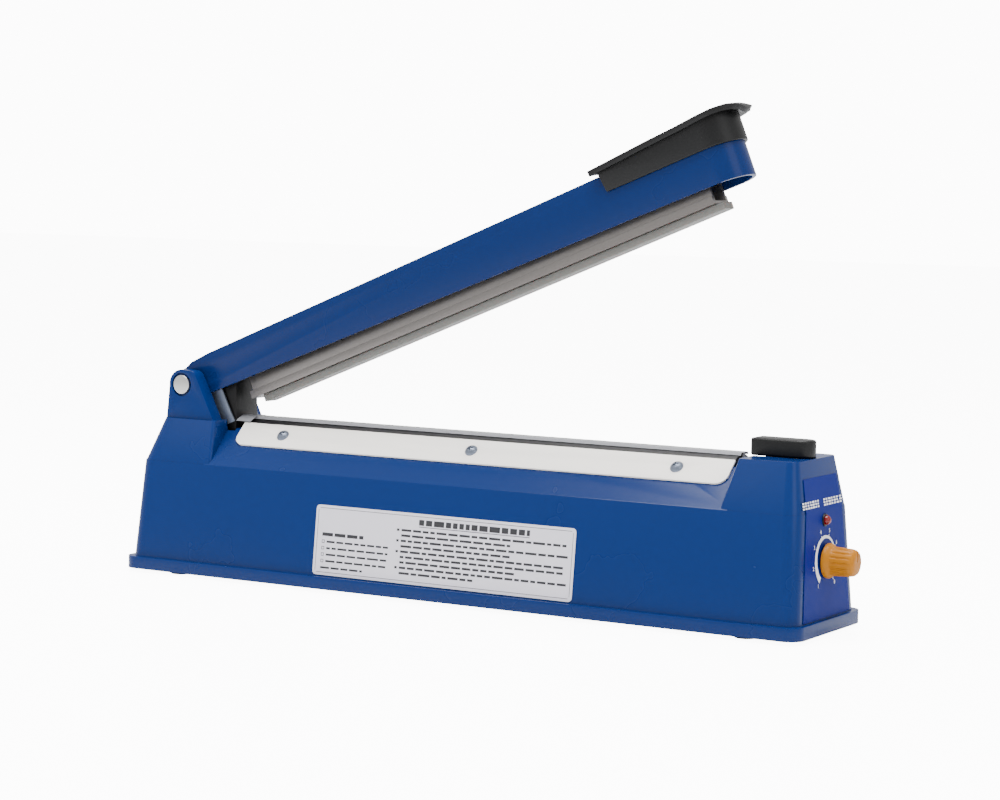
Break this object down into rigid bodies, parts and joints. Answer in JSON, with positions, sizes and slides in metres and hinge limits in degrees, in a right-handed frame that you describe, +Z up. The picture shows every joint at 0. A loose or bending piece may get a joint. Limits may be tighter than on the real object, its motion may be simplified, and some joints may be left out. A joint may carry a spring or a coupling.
{
  "type": "impulse heat sealer",
  "caption": "Hand impulse heat sealer: hinged press arm with grip over a straight cloth-covered sealing bed on a moulded base with a timer knob.",
  "frame": {"origin": "centre of the overall footprint, on the surface the rubber feet stand on", "axes": "+Z up, +X along the base towards the timer knob, -Y towards the user"},
  "size_m": [0.4436, 0.085, 0.2743],
  "materials": {
    "blue_abs": "moulded, semi-gloss",
    "zinc_steel": "bright zinc",
    "foot_rubber": "matt",
    "stainless": "fine brushed",
    "black_board": "satin laminate",
    "nichrome": "rolled ribbon",
    "ptfe_cloth": "coated glass cloth",
    "brass": "machined",
    "spring_steel": "drawn wire",
    "black_plastic": "fine texture",
    "blue_arm": "moulded, semi-gloss",
    "sheet_steel": "grey plated",
    "aluminium": "extruded, satin",
    "grey_rubber": "silicone",
    "grip_black": "fine texture",
    "switch_red": "moulded",
    "iron_core": "varnished laminations",
    "coil_tape": "polyester tape",
    "board_green": "solder mask",
    "white_nylon": "moulded",
    "relay_blue": "moulded",
    "capacitor_black": "sleeve",
    "amber_knob": "moulded, fluted",
    "panel_blue": "printed film",
    "print_white": "printed",
    "lamp_red": "tinted lens",
    "label_white": "printed film"
  },
  "bodies": {
    "base": {"base_housing": "blue_abs", "base_plate": "zinc_steel", "base_plate_screws": "zinc_steel", "rubber_feet": "foot_rubber", "front_clamp_plate": "stainless", "rear_clamp_plate": "stainless", "front_clamp_screws": "zinc_steel", "rear_clamp_screws": "zinc_steel", "bed_board": "black_board", "heating_element": "nichrome", "release_cloth": "ptfe_cloth", "element_terminals": "brass", "terminal_screws": "zinc_steel", "element_spring": "spring_steel", "push_block_spring": "spring_steel", "hinge_pin": "zinc_steel", "pin_clip": "spring_steel", "spring_block": "black_plastic", "return_spring": "spring_steel", "microswitch": "black_plastic", "switch_bracket": "zinc_steel", "transformer_core": "iron_core", "transformer_coil": "coil_tape", "transformer_frame": "zinc_steel", "transformer_screws": "zinc_steel", "timer_board": "board_green", "board_standoffs": "white_nylon", "relay": "relay_blue", "capacitor": "capacitor_black", "potentiometer": "zinc_steel", "pot_nut": "zinc_steel", "control_panel": "panel_blue", "dial_ring": "print_white", "indicator_lamp": "lamp_red", "lamp_holder": "black_plastic", "front_label": "label_white", "cord_grommet": "foot_rubber", "mains_terminal_block": "white_nylon"},
    "arm": {"arm_shell": "blue_arm", "pivot_bush": "brass", "arm_bracket": "sheet_steel", "bar_guide_straps": "zinc_steel", "strap_screws": "zinc_steel", "handle_grip": "grip_black", "grip_screws": "zinc_steel"},
    "press_bar": {"press_bar": "aluminium", "bar_studs": "zinc_steel", "stud_rings": "spring_steel", "bar_springs": "spring_steel", "sealing_rubber": "grey_rubber"},
    "plunger": {"return_plunger": "zinc_steel"},
    "push_block": {"push_block": "black_plastic", "push_block_clip": "spring_steel"},
    "switch_button": {"switch_button": "switch_red"},
    "timer_knob": {"timer_knob": "amber_knob", "pot_shaft": "zinc_steel"}
  },
  "joints": [
    {"name": "arm_hinge", "type": "hinge", "parent": "base", "child": "arm", "pos_m": [-0.1938, 0, 0.1093], "axis": [0, 1, 0], "range_deg": [0, 22], "stiffness_Nm_per_rad": 1.2, "springref_deg": -68.75},
    {"name": "bar_float", "type": "slide", "parent": "arm", "child": "press_bar", "axis": [-0.3746, 0, 0.9272], "range_m": [0, 0.0083], "deforming": ["bar_springs"]},
    {"name": "plunger_slide", "type": "slide", "parent": "base", "child": "plunger", "axis": [0, 0, -1], "range_m": [0, 0.00929], "deforming": ["return_spring"]},
    {"name": "push_block_slide", "type": "slide", "parent": "base", "child": "push_block", "axis": [0, 0, -1], "range_m": [0, 0.005], "deforming": ["push_block_spring"]},
    {"name": "switch_press", "type": "slide", "parent": "base", "child": "switch_button", "axis": [0, 0, -1], "range_m": [0, 0.001], "stiffness_N_per_m": 400, "springref_m": -0.001},
    {"name": "timer_knob_turn", "type": "hinge", "parent": "base", "child": "timer_knob", "pos_m": [0.2036, 0, 0.039], "axis": [1, 0, 0], "range_deg": [-150, 150]}
  ],
  "couplings": [
    {"joint": "bar_float", "follows": "arm_hinge", "m_per_rad": 0.021616},
    {"joint": "push_block_slide", "follows": "arm_hinge", "m_per_rad": 0.013022},
    {"joint": "plunger_slide", "follows": "arm_hinge", "m_per_rad": 0.024184}
  ]
}
